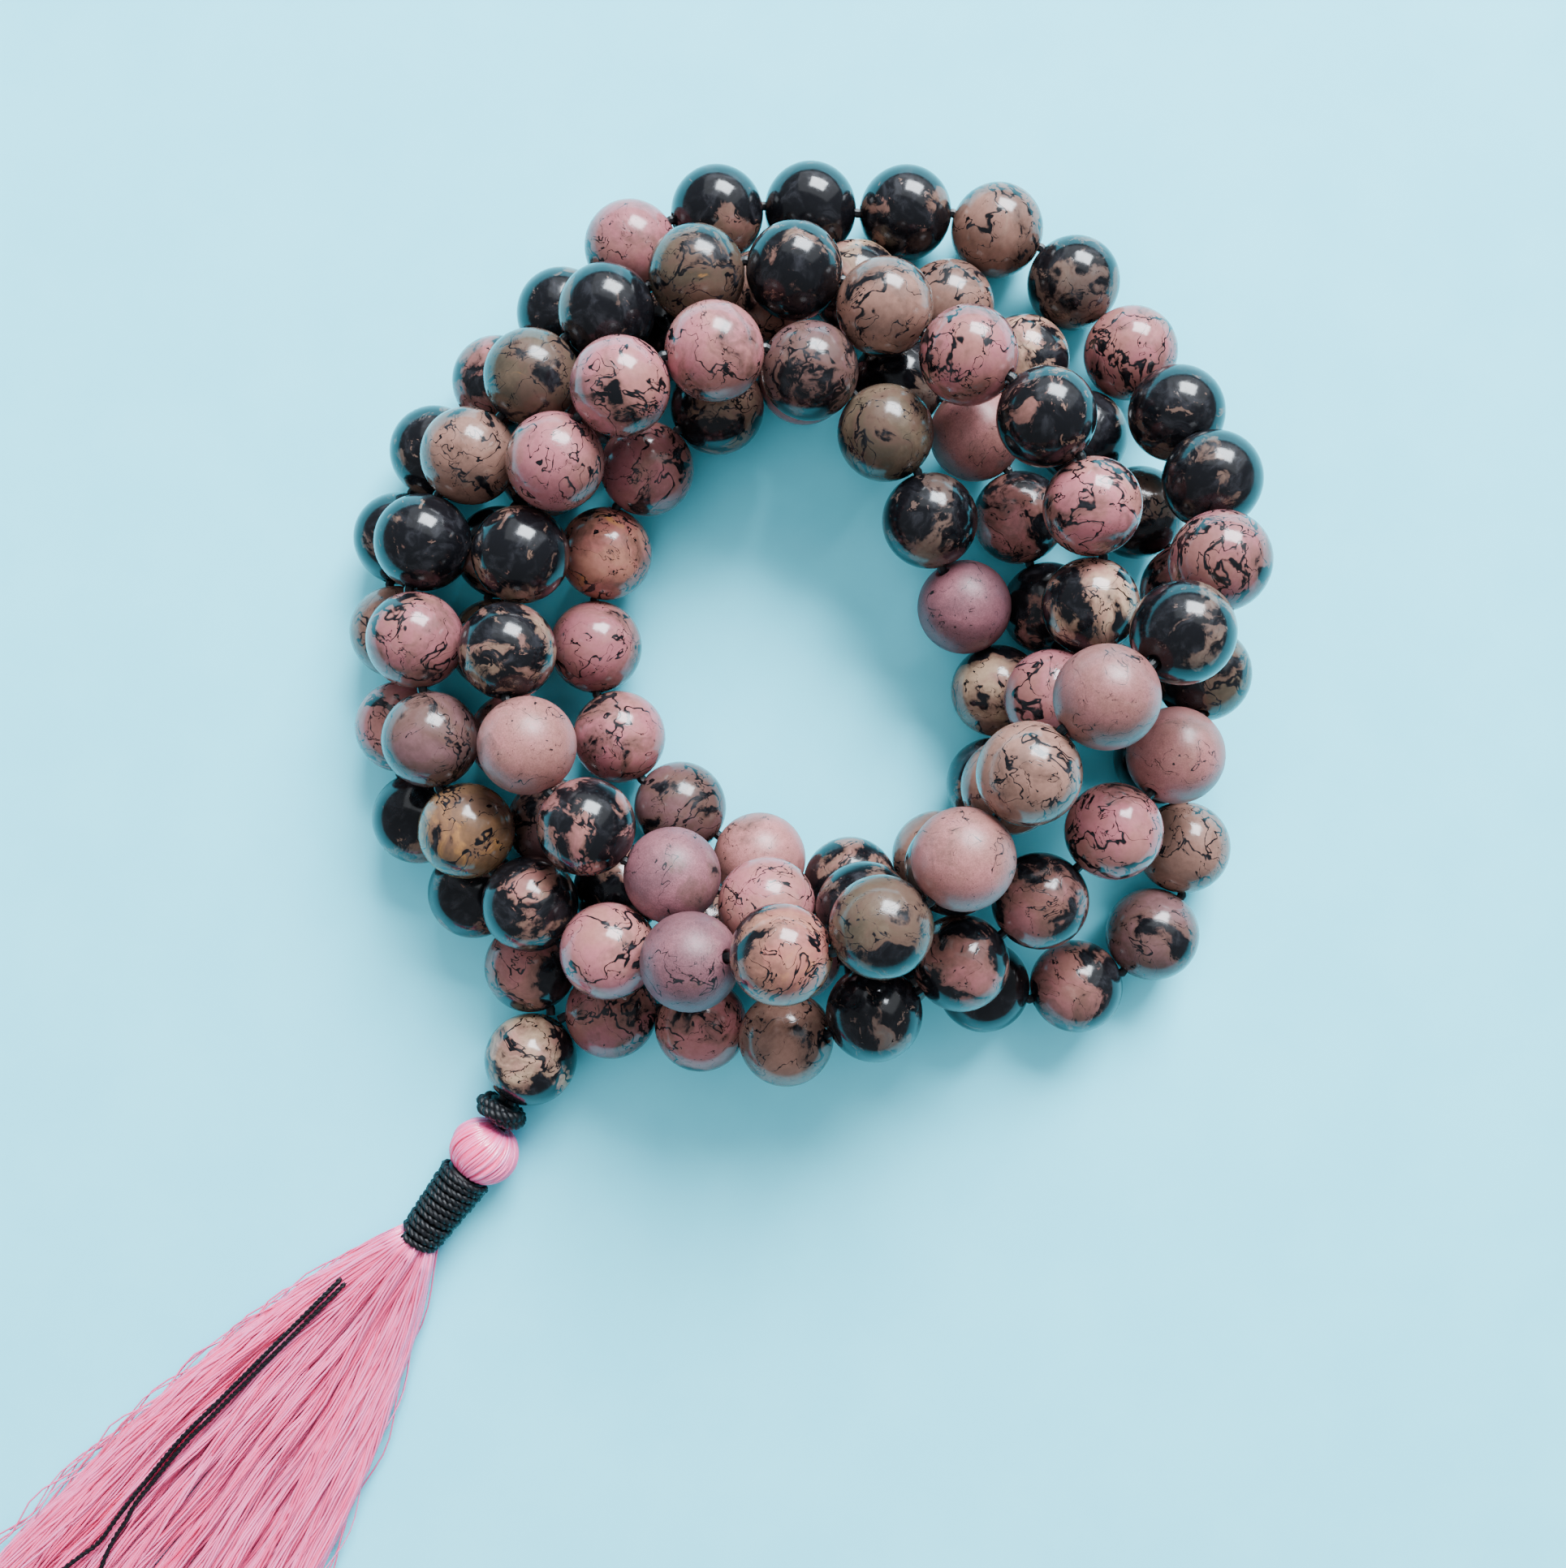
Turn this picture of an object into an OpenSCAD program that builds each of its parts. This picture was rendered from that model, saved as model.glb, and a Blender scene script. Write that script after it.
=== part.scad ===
// Strand of prayer beads: stone beads on one cord, a guru bead where the two cord ends meet,
// and a silk tassel. The strand lies loosely coiled on a flat surface, z = 0, about the origin.

/* [Beads] */
// Diameter of every stone bead; the whole piece keeps its proportions to it
bead_d = 8; // [6:0.5:12]
// Diameter of the hole drilled through a bead
bore_d = 1; // [0.95:0.05:1.4]
// Width of the small bevel that the drill leaves at each mouth of a bore
bevel_w = 0.2; // [0.1:0.05:0.3]
// Diameter of the wider hole through the guru bead, which takes both ends of the cord
guru_bore_d = 2; // [1.9:0.05:2.6]

/* [Cord] */
// Diameter of the black waxed cord
cord_d = 0.8; // [0.6:0.05:0.8]
// Length of cord from one bead joint to the next
link_l = 8.3; // [8.2:0.05:8.5]
// Diameter of each of the two thin cord ends that hang beside the tassel
end_cord_d = 0.5; // [0.4:0.05:0.7]

/* [Guru knot] */
// Diameter of the knot below the guru bead
knot_d = 4.8; // [4:0.1:5.4]
// Thickness of the knot along the cord
knot_t = 1.8; // [1.4:0.1:1.8]

/* [Tassel] */
// Diameter of the wound head of the tassel
head_d = 6.2; // [5.4:0.1:6.3]
// Length of the head along the tassel
head_l = 5.2; // [4.6:0.1:5.2]
// Diameter of the cord wrapping where it meets the head
wrap_d = 4.9; // [4.4:0.1:5.2]
// Diameter of the cord wrapping where the loose threads leave it
wrap_end_d = 4; // [3.6:0.1:4.4]
// Length of the cord wrapping
wrap_l = 7.8; // [6:0.1:10]
// Length of the loose threads below the wrapping
skirt_l = 58; // [40:1:64]
// How far the threads fan out to each side of the tassel's axis
skirt_spread = 14.5; // [8:0.5:16]

/* [Hidden] */
// Everything is drawn for 8 mm beads and then scaled to bead_d.
drawn_bead_d = 8;
k = bead_d / drawn_bead_d;
bead_r = drawn_bead_d / 2;
origin = [0, 0, 0];
up = [0, 0, 1];
smooth = 48;

// Places of the guru bead and the tassel. The guru bead's hole points along hole_dir, towards the
// tassel, and the tassel lies along tassel_dir from the centre of its head.
guru_at = [-24, -36, 4];
hole_turn = 240;
hole_dir = [cos(hole_turn), sin(hole_turn), 0];
hole_side = cross(up, hole_dir);
head_at = [-28.2, -44.2, 3.2];
tassel_dir = [-0.6, -0.8, 0];
tassel_side = cross(up, tassel_dir);

// The cord's route, a point at every third joint between beads, from the guru bead's mouth and
// back to it: a turn on the surface, two more piled on it, then two low ones inside and around.
route = [
    [-22, -32, 4], [-33, -11, 4], [-32, 12, 4], [-16, 28, 4], [5, 33, 4], [24, 25, 5],
    [28, 8, 16], [19, -8, 21], [3, -21, 19], [-19, -21, 12], [-30, -4, 10], [-24, 16, 11],
    [-5, 27, 10], [14, 16, 13], [18, 0, 12], [7, -17, 13], [-12, -15, 13], [-21, 2, 13],
    [-10, 20, 13], [9, 12, 8], [17, -9, 4], [-2, -19, 5], [-14, -3, 4], [-8, 16, 5],
    [11, 17, 4], [18, -2, 5], [29, -13, 4], [12, -27, 4], [-12, -24, 4], [-26, -3, 4],
    [-20, 19, 4], [1, 30, 4], [20, 20, 4], [33, 3, 5], [24, -16, 11], [4, -32, 8],
    [-21, -32, 4]
];
point_every = 3;
bead_count = point_every * (len(route) - 1);
last_joint = bead_count;

// Beads that lie on top of others and turn as nodes of their own, then the runs of beads that
// carry them, each run one node. Beads are numbered along the cord from the guru bead.
top_runs = [[18, 56], [101, 105]];
low_runs = [[1, 17], [57, 78], [79, 100], [106, 108]];
top_beads = [for (run = top_runs) for (n = [run[0]:run[1]]) n];

// --- How the strand settles -------------------------------------------------------------------
// The cord is a chain of straight links, one through each bead. Small steps push overlapping
// beads apart, bring every link back to its length, keep neighbours on the cord from touching,
// and let the beads sink until they rest on the surface or on each other.
spacing = 8.1;
near_reach = 10.5;
look_every = 40;
ease = 0.9;
push_share = 0.8;
first_steps = 120;
route_pull = 0.2;
sink = 0.02;
last_steps = 400;

function unit(v) = v / norm(v);
function flat(turn) = [cos(turn), sin(turn), 0];
function total(list) = len(list) == 0 ? origin : [for (x = list) 1] * list;
function apart(d, want) =
    let (l = norm(d))
    l < want ? d / l * (want - l) / 2 : origin;
function link_pull(a, b) = (b - a) * (1 - link_l / norm(b - a)) / 2;
function centres(m) = [for (i = [0:bead_count - 1]) (m[i] + m[i + 1]) / 2];
function bodies(m) = concat(centres(m), [guru_at]);

// The first and the last bead sit against the guru bead, 30 degrees to each side of its hole.
end_half_turn = 30;
mouth_gap = 0.15;
mouth_at = guru_at - (bead_r + mouth_gap) * hole_dir;
end_spacing = spacing + 0.02;
function end_bead(side) = guru_at + end_spacing * flat(hole_turn + 180 + side * end_half_turn);
function end_joint(side, reach) = end_bead(side) + reach * link_l / 2 * unit(end_bead(side) - mouth_at);
function pinned(i, m) =
    i == 0 ? end_joint(1, -1) :
    i == 1 ? end_joint(1, 1) :
    i == last_joint - 1 ? end_joint(-1, 1) :
    i == last_joint ? end_joint(-1, -1) :
    m;

// Starting joints: a smooth curve through the route's points, shared out evenly between them
function route_point(i) = route[max(0, min(i, len(route) - 1))];
function on_route(i, t) =
    let (a = route_point(i - 1), b = route_point(i), c = route_point(i + 1), d = route_point(i + 2))
    b + (t * (c - a) + t * t * (2 * a - 5 * b + 4 * c - d) + t * t * t * (3 * b - a - 3 * c + d)) / 2;
start_joints = [for (i = [0:last_joint])
    pinned(i, on_route(floor(i / point_every), i % point_every / point_every))
];

function near_lists(c) = [for (i = [0:bead_count - 1])
    [for (j = [0:bead_count]) if (abs(i - j) > 1 && norm(c[i] - c[j]) < near_reach) j]
];
function push(i, c, near) =
    total([for (j = near[i]) push_share * apart(c[i] - c[j], spacing)]) + [0, 0, max(0, bead_r - c[i].z)];
function joint_move(i, m, p) =
    link_pull(m[i], m[i + 1]) + link_pull(m[i], m[i - 1]) + p[i - 1] + p[i]
    + push_share * (apart(m[i] - m[min(i + 2, last_joint)], 2 * spacing)
                    + apart(m[i] - m[max(i - 2, 0)], 2 * spacing));
function step(m, near, pull, fall) =
    let (c = bodies(m), p = [for (i = [0:bead_count - 1]) push(i, c, near)])
    [for (i = [0:last_joint])
        i < 2 || i > last_joint - 2 ? m[i] :
        m[i] + ease * (joint_move(i, m, p) - fall * up)
        + pull * (start_joints[i] - m[i])
    ];
function settle(m, steps, near, pull, fall) =
    steps == 0 ? m :
    let (now = steps % look_every == 0 ? near_lists(bodies(m)) : near)
    settle(step(m, now, pull, fall), steps - 1, now, pull, fall);

guided = settle(start_joints, first_steps, [], route_pull, sink);
joints = settle(guided, last_steps, [], 0, 0);
bead_at = centres(joints);
bead_dir = [for (i = [0:bead_count - 1]) unit(joints[i + 1] - joints[i])];

// --- Sweeping a cord --------------------------------------------------------------------------
cord_sides = 8;
function along(p, i) =
    i == 0 ? unit(p[1] - p[0]) :
    i == len(p) - 1 ? unit(p[i] - p[i - 1]) :
    unit(unit(p[i + 1] - p[i]) + unit(p[i] - p[i - 1]));
function carried(p, i, last) =
    i == len(p) ? [] :
    let (t = along(p, i), side = unit(last - (last * t) * t))
    concat([side], carried(p, i + 1, side));
function ring(at, t, side, r) = [for (s = [0:cord_sides - 1])
    let (a = 360 * s / cord_sides)
    at + r * (cos(a) * side + sin(a) * cross(t, side))
];

module cord_tube(p, d, start_side) {
    sides = carried(p, 0, start_side);
    rings = [for (i = [0:len(p) - 1]) ring(p[i], along(p, i), sides[i], d / 2)];
    skin(rings);
}

// A closed skin over rings that all have the same number of points
module skin(rings) {
    n = len(rings[0]);
    last = len(rings) - 1;
    points = [for (r = rings) for (q = r) q];
    walls = [for (i = [0:last - 1]) for (s = [0:n - 1])
        for (f = [[i * n + s, (i + 1) * n + s, (i + 1) * n + (s + 1) % n],
                  [i * n + s, (i + 1) * n + (s + 1) % n, i * n + (s + 1) % n]])
        f
    ];
    first_cap = [for (s = [0:n - 1]) s];
    last_cap = [for (s = [n - 1:-1:0]) last * n + s];
    polyhedron(points, concat([first_cap], walls, [last_cap]), convexity = 6);
}

// Puts a shape drawn along +Z onto a direction
module point_along(dir) {
    rotate([0, acos(dir.z), atan2(dir.y, dir.x)]) children();
}

// --- Stone beads and the strand's cord --------------------------------------------------------
module drilled_bead(hole_d) {
    hole_r = hole_d / 2;
    mouth_r = hole_r + bevel_w;
    mouth_z = sqrt(bead_r * bead_r - mouth_r * mouth_r);
    difference() {
        sphere(r = bead_r, $fn = smooth);
        cylinder(h = 3 * bead_r, r = hole_r, center = true, $fn = smooth);
        for (turn = [0, 180])
            rotate([turn, 0, 0])
                translate([0, 0, mouth_z - bevel_w])
                    cylinder(h = 2 * bevel_w, r1 = hole_r, r2 = hole_r + 2 * bevel_w, $fn = smooth);
    }
}

module bead(n) {
    colours = ["rosybrown", "dimgray", "tan", "indianred"];
    color(colours[n % len(colours)])
        scale(k)
            translate(bead_at[n - 1])
                point_along(bead_dir[n - 1])
                    drilled_bead(bore_d);
}

module low_beads(r) {
    for (n = [low_runs[r - 1][0]:low_runs[r - 1][1]])
        bead(n);
}

// The two ends of the cord stop at the mouth of the guru bead, side by side.
cord_gap = 0.04;
end_side = cord_d / 2 + cord_gap / 2;
end_reach = 0.2;
function cord_end(side) = guru_at - (bead_r + end_reach) * hole_dir + side * end_side * hole_side;

module strand_cord() {
    color("black")
        scale(k)
            cord_tube(concat([cord_end(-1)], joints, [cord_end(1)]), cord_d, up);
}

// --- Guru bead, its cords and its knot --------------------------------------------------------
knot_gap = 0.3;
knot_near = bead_r + knot_gap;
cord_inset = 0.2;

module guru_bead() {
    color("black")
        scale(k)
            translate(guru_at)
                point_along(hole_dir)
                    drilled_bead(guru_bore_d);
}

module guru_cord() {
    color("black")
        scale(k)
            for (side = [-1, 1])
                translate(guru_at + side * end_side * hole_side)
                    point_along(hole_dir)
                        translate([0, 0, cord_inset - bead_r])
                            cylinder(h = knot_near + bead_r - cord_inset, d = cord_d, $fn = smooth);
}

// A disc with a full round rim
module round_disc(d, t) {
    rotate_extrude($fn = smooth) {
        translate([0, -t / 2])
            square([d / 2 - t / 2, t]);
        intersection() {
            translate([d / 2 - t / 2, 0])
                circle(d = t, $fn = smooth);
            translate([0, -t])
                square([d, 2 * t]);
        }
    }
}

module guru_knot() {
    color("black")
        scale(k)
            translate(guru_at + (knot_near + knot_t / 2) * hole_dir)
                point_along(hole_dir)
                    round_disc(knot_d, knot_t);
}

// --- Tassel -----------------------------------------------------------------------------------
// Distances along the tassel are measured from the centre of its head.
loop_start = -2.7;
loop_end = -0.3;
loop_room = 0.1;
neck_at = 2.2;
wrap_end = neck_at + wrap_l;

module on_tassel() {
    scale(k)
        translate(head_at)
            point_along(tassel_dir)
                children();
}

module tassel_loop() {
    color("black")
        on_tassel()
            translate([0, 0, loop_start])
                cylinder(h = loop_end - loop_start, d = cord_d, $fn = smooth);
}

module tassel_head() {
    color("hotpink")
        on_tassel()
            difference() {
                rotate_extrude($fn = smooth)
                    intersection() {
                        scale([head_d / head_l, 1])
                            circle(d = head_l, $fn = smooth);
                        translate([0, -head_l])
                            square([head_d, head_l + neck_at]);
                    }
                translate([0, 0, -head_l])
                    cylinder(h = head_l + loop_end + 2 * loop_room, r = cord_d / 2 + loop_room, $fn = smooth);
            }
}

module tassel_wrap() {
    rim = 0.3;
    color("black")
        on_tassel()
            rotate_extrude($fn = smooth)
                polygon([
                    [0, neck_at], [wrap_d / 2 - rim, neck_at], [wrap_d / 2, neck_at + rim],
                    [wrap_end_d / 2, wrap_end - rim], [wrap_end_d / 2 - rim, wrap_end], [0, wrap_end]
                ]);
}

// The threads leave the wrapping as a round bundle, sink to the surface and fan out flat on it.
skirt_inset = 0.15;
skirt_root_r = wrap_end_d / 2 - skirt_inset;
skirt_tip_half_t = 1.5;
skirt_fan_l = 30;
skirt_sink_l = 12;
skirt_rest = 0.15;
skirt_rings = 30;
skirt_sides = 24;
skirt_root_at = head_at + wrap_end * tassel_dir;
function skirt_half_w(t) = skirt_root_r + skirt_spread * (1 - exp(-t / skirt_fan_l));
function skirt_half_t(t) = skirt_root_r + (skirt_tip_half_t - skirt_root_r) * t / skirt_l;
function skirt_z(t) =
    let (low = skirt_half_t(t) + skirt_rest, left = max(0, 1 - t / skirt_sink_l))
    low + (head_at.z - skirt_root_r - skirt_rest) * left * left;

module tassel_skirt() {
    rings = [for (i = [0:skirt_rings])
        let (t = skirt_l * i / skirt_rings)
        [for (s = [0:skirt_sides - 1])
            let (a = 360 * s / skirt_sides)
            [skirt_root_at.x, skirt_root_at.y, skirt_z(t)] + t * tassel_dir
                + skirt_half_w(t) * cos(a) * tassel_side + skirt_half_t(t) * sin(a) * up
        ]
    ];
    color("pink")
        scale(k)
            skin(rings);
}

// The two free ends of the cord come out between the threads and lie on top of them, first side
// by side along one route and then apart.
tail_shared = [
    [-40.5, -55.5, 3.5], [-42.5, -57.5, 3.8], [-44.5, -59.5, 3.8], [-47, -62, 3.8], [-49.5, -64.5, 3.7],
    [-52, -67, 3.7], [-54.5, -69.5, 3.6], [-57, -72.5, 3.5], [-59, -75, 3.5]
];
tail_left_end = [
    [-60.5, -76.5, 3.4], [-62, -78.5, 3.4], [-64, -80, 3.4], [-66.5, -82, 3.3], [-69, -84.5, 3.3],
    [-70.5, -87, 3.3]
];
tail_right_end = [
    [-59.5, -76.5, 3.4], [-60.5, -78, 3.4], [-61.5, -80, 3.4], [-62.5, -83, 3.3], [-63.5, -86, 3.3],
    [-64.5, -89, 3.3]
];
tail_gap = 0.04;

module cord_tail(side, end) {
    aside = side * (end_cord_d + tail_gap) / 2 * unit([-0.7, 0.7, 0]);
    color("black")
        scale(k)
            cord_tube(concat([for (q = tail_shared) q + aside], end), end_cord_d, up);
}

module cord_tail_left() {
    cord_tail(1, tail_left_end);
}

module cord_tail_right() {
    cord_tail(-1, tail_right_end);
}

strand_cord();
for (r = [1:len(low_runs)])
    low_beads(r);
for (n = top_beads)
    bead(n);
guru_bead();
guru_cord();
guru_knot();
tassel_loop();
tassel_head();
tassel_wrap();
tassel_skirt();
cord_tail_left();
cord_tail_right();
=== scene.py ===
# %% [markdown]
# # A strand of prayer beads
#
# The strand is a loose coil of polished stone beads on one black waxed cord. Its two ends pass through a
# guru bead, are knotted, and carry a tassel of silky threads bound with the same cord. This lesson reads
# the places of all the pieces from the CAD frame, gives each stone its own pattern, and then winds, plies
# and combs the cords and threads as real tubes, so that every visible shape is geometry.

# %% Load the frame
import math
import random

import bpy
import numpy as np
from mathutils import Matrix, Vector


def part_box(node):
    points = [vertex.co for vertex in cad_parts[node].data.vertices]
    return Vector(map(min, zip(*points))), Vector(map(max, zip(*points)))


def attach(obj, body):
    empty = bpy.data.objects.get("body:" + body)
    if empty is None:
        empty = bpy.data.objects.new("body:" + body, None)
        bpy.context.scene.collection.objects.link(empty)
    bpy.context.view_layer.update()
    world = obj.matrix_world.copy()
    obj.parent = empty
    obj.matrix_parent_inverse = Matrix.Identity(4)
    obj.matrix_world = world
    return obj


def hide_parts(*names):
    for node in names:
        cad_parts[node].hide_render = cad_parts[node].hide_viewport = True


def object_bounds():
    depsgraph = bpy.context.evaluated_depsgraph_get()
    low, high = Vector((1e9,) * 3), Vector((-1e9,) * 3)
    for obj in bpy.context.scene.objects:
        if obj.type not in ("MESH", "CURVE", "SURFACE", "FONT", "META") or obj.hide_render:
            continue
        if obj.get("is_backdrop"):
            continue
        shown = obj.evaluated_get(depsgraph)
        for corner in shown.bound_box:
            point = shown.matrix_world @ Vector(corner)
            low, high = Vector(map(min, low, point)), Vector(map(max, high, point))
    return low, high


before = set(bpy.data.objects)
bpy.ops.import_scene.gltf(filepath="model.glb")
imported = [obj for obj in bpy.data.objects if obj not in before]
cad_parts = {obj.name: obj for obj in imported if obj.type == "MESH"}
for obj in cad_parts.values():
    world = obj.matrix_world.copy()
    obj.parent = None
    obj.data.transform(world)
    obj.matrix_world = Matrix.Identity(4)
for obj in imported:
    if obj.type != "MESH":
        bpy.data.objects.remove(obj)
cad_box = [list(corner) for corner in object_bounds()]
MM = 0.001
UP = Vector((0, 0, 1))

# %% [markdown]
# ## Camera and light
#
# The strand is seen from straight above and close by, which makes the beads on top of the pile look larger
# than those on the table. The camera's angle is assumed, and its height was set until neighbouring beads on
# the table came out about the right distance apart. One large soft window beyond the far edge of the coil
# gives each polished bead a single cool highlight on its far side; a dimmer wall of light round the window
# gives the soft sheen about it, and a dim sky and a wide lamp that glossy rays don't see fill the shadows. A
# sun lamp would make a pinprick instead, because a glossy ball mirrors the shape of its light.

# %% Camera straight above
CAMERA_AT = Vector((-2, -12, 141)) * MM
CAMERA_ANGLE = math.radians(53)

camera_data = bpy.data.cameras.new("camera")
camera_data.sensor_fit = "HORIZONTAL"
camera_data.angle = CAMERA_ANGLE
camera_data.clip_start = 0.01
camera = bpy.data.objects.new("camera", camera_data)
camera.location = CAMERA_AT
bpy.context.scene.collection.objects.link(camera)
bpy.context.scene.camera = camera
print("camera at", [round(x / MM) for x in camera.location], "mm")

# %% Window and sky
WINDOW_FROM = Vector((0.27, 0.72, 0.63))
WINDOW_DISTANCE = 0.9
WINDOW_POWER = 36


def add_window(name, direction, distance, width, height, power, colour):
    """A rectangular soft light that faces the origin."""
    data = bpy.data.lights.new(name, "AREA")
    data.shape = "RECTANGLE"
    data.size = width
    data.size_y = height
    data.energy = power
    data.color = colour
    light = bpy.data.objects.new(name, data)
    light.location = direction.normalized() * distance
    light.rotation_euler = direction.to_track_quat("Z", "Y").to_euler()
    bpy.context.scene.collection.objects.link(light)
    return light


add_window("window", WINDOW_FROM, WINDOW_DISTANCE, 0.5, 0.42, WINDOW_POWER, (0.86, 0.93, 1.0))
add_window("wall", WINDOW_FROM, 1.3, 2.2, 1.6, 16, (0.90, 0.95, 1.0))
ceiling = add_window("ceiling", Vector((-0.4, -0.3, 1.0)), 1.2, 1.2, 1.2, 8, (0.94, 0.97, 1.0))
ceiling.visible_glossy = False
world = bpy.data.worlds.new("sky")
bpy.context.scene.world = world
world.use_nodes = True
sky = world.node_tree.nodes["Background"]
sky.inputs["Color"].default_value = (0.80, 0.90, 1.0, 1)
sky.inputs["Strength"].default_value = 0.36

# %% [markdown]
# ## Helpers for meshes
#
# Cords, plies and threads are all the same thing to Blender: a tube along a path. A curve object with a
# round bevel would do too, but a mesh can carry its own numbers at each point, such as how far along the
# thread it is, and the materials use those. `carry_sides` turns the tube's cross-section as little as
# possible from one point to the next, so that tubes don't twist by themselves.


# %% Tubes and meshes
def carry_sides(path, side):
    """Unit direction along the path at each point, and a side direction that never spins about it."""
    path = np.asarray(path, float)
    steps = np.diff(path, axis=0)
    steps /= np.linalg.norm(steps, axis=1)[:, None]
    along = np.vstack([steps[:1], steps[1:] + steps[:-1], steps[-1:]])
    along /= np.linalg.norm(along, axis=1)[:, None]
    sides = np.zeros_like(path)
    side = np.asarray(side, float)
    for i, t in enumerate(along):
        side = side - side.dot(t) * t
        side /= np.linalg.norm(side)
        sides[i] = side
    return along, sides


class MeshMaker:
    """Collects points, faces and per-point values, and makes one mesh object of them."""

    def __init__(self):
        self.points, self.faces, self.values = [], [], {}

    def add(self, points, faces, **values):
        start = sum(len(p) for p in self.points)
        self.points.append(np.asarray(points, float))
        self.faces.extend([tuple(start + i for i in f) for f in faces])
        for name, value in values.items():
            value = np.asarray(value, float)
            if value.ndim < 2 and value.shape != (len(points),):
                value = np.broadcast_to(value, (len(points),) + value.shape)
            self.values.setdefault(name, []).append(value)

    def tube(self, path, radius, sides=6, side=(0, 0, 1), **values):
        """A closed round tube. radius is one number, or one for each point of the path."""
        path = np.asarray(path, float)
        n = len(path)
        radius = np.broadcast_to(np.asarray(radius, float), (n,))
        along, across = carry_sides(path, side)
        other = np.cross(along, across)
        angles = np.arange(sides) * 2 * math.pi / sides
        cosine, sine = np.cos(angles)[None, :, None], np.sin(angles)[None, :, None]
        rings = path[:, None] + radius[:, None, None] * (cosine * across[:, None] + sine * other[:, None])
        faces = [(i * sides + s, i * sides + (s + 1) % sides,
                  (i + 1) * sides + (s + 1) % sides, (i + 1) * sides + s)
                 for i in range(n - 1) for s in range(sides)]
        faces.append(tuple(reversed(range(sides))))
        faces.append(tuple(range((n - 1) * sides, n * sides)))
        length = np.concatenate([[0], np.cumsum(np.linalg.norm(np.diff(path, axis=0), axis=1))])
        self.add(rings.reshape(-1, 3), faces, run=np.repeat(length, sides), turn=np.tile(angles, n), **values)

    def make(self, name, material):
        mesh = bpy.data.meshes.new(name)
        mesh.from_pydata(np.vstack(self.points).tolist(), [], self.faces)
        for label, parts in self.values.items():
            flat = np.concatenate([p.reshape(len(p), -1) for p in parts])
            kind = {1: "FLOAT", 3: "FLOAT_VECTOR"}[flat.shape[1]]
            layer = mesh.attributes.new(label, kind, "POINT")
            layer.data.foreach_set("value" if kind == "FLOAT" else "vector", flat.ravel().astype(np.float32))
        mesh.polygons.foreach_set("use_smooth", [True] * len(mesh.polygons))
        mesh.materials.append(material)
        mesh.validate()
        piece = bpy.data.objects.new(name, mesh)
        bpy.context.scene.collection.objects.link(piece)
        return piece


def ply_paths(path, offset, pitch, plies=2, side=(0, 0, 1)):
    """The paths of the plies that twist round each other along a cord's path."""
    path = np.asarray(path, float)
    along, across = carry_sides(path, side)
    other = np.cross(along, across)
    length = np.concatenate([[0], np.cumsum(np.linalg.norm(np.diff(path, axis=0), axis=1))])
    for p in range(plies):
        angle = 2 * math.pi * (length / pitch + p / plies)
        yield path + offset * (np.cos(angle)[:, None] * across + np.sin(angle)[:, None] * other)


def smooth_path(points, step):
    """A smooth curve through the points, with a point about every step."""
    points = [np.asarray(p, float) for p in points]
    ends = [2 * points[0] - points[1]] + points + [2 * points[-1] - points[-2]]
    path = []
    for a, b, c, d in zip(ends, ends[1:], ends[2:], ends[3:]):
        count = max(2, round(np.linalg.norm(c - b) / step))
        for t in np.arange(count) / count:
            path.append(0.5 * (2 * b + (c - a) * t + (2 * a - 5 * b + 4 * c - d) * t**2
                               + (3 * b - a - 3 * c + d) * t**3))
    return np.array(path + [points[-1]])


print("mesh helpers are ready")

# %% [markdown]
# ## Helpers for materials
#
# A shader tree is a list of nodes and the links between them. `Tree` writes both in one line each: its
# methods return the output socket of the node they add, so the result of one goes straight into the next.


# %% Shader trees
class Tree:
    """Adds nodes to a shader tree. Values may be numbers, colours or sockets of other nodes."""

    def __init__(self, tree):
        self.tree = tree

    def node(self, kind, values=(), **settings):
        made = self.tree.nodes.new(kind)
        for name, value in settings.items():
            setattr(made, name, value)
        for name, value in dict(values).items():
            if isinstance(value, bpy.types.NodeSocket):
                self.tree.links.new(value, made.inputs[name])
            else:
                made.inputs[name].default_value = value
        return made

    def math(self, operation, a, b=0.0, clamp=False):
        return self.node("ShaderNodeMath", {0: a, 1: b}, operation=operation, use_clamp=clamp).outputs[0]

    def vector(self, operation, a, b=(0, 0, 0)):
        return self.node("ShaderNodeVectorMath", {0: a, 1: b}, operation=operation).outputs[0]

    def scaled(self, a, factor):
        return self.node("ShaderNodeVectorMath", {0: a, "Scale": factor}, operation="SCALE").outputs[0]

    def noise(self, place, scale, detail=4.0, rough=0.55, twist=0.0, out=0):
        values = {"Vector": place, "Scale": scale, "Detail": detail, "Roughness": rough, "Distortion": twist}
        return self.node("ShaderNodeTexNoise", values).outputs[out]

    def step(self, value, low, high, to_low=0.0, to_high=1.0):
        """A smooth step from to_low to to_high as value goes from low to high."""
        values = {"Value": value, "From Min": low, "From Max": high, "To Min": to_low, "To Max": to_high}
        return self.node("ShaderNodeMapRange", values, interpolation_type="SMOOTHSTEP").outputs[0]

    def mix(self, factor, a, b):
        made = self.node("ShaderNodeMix", data_type="RGBA", clamp_factor=True)
        for socket, value in ((made.inputs[0], factor), (made.inputs[6], a), (made.inputs[7], b)):
            if isinstance(value, bpy.types.NodeSocket):
                self.tree.links.new(value, socket)
            else:
                socket.default_value = value
        return made.outputs[2]

    def attribute(self, name, out="Fac"):
        return self.node("ShaderNodeAttribute", attribute_name=name).outputs[out]


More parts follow.
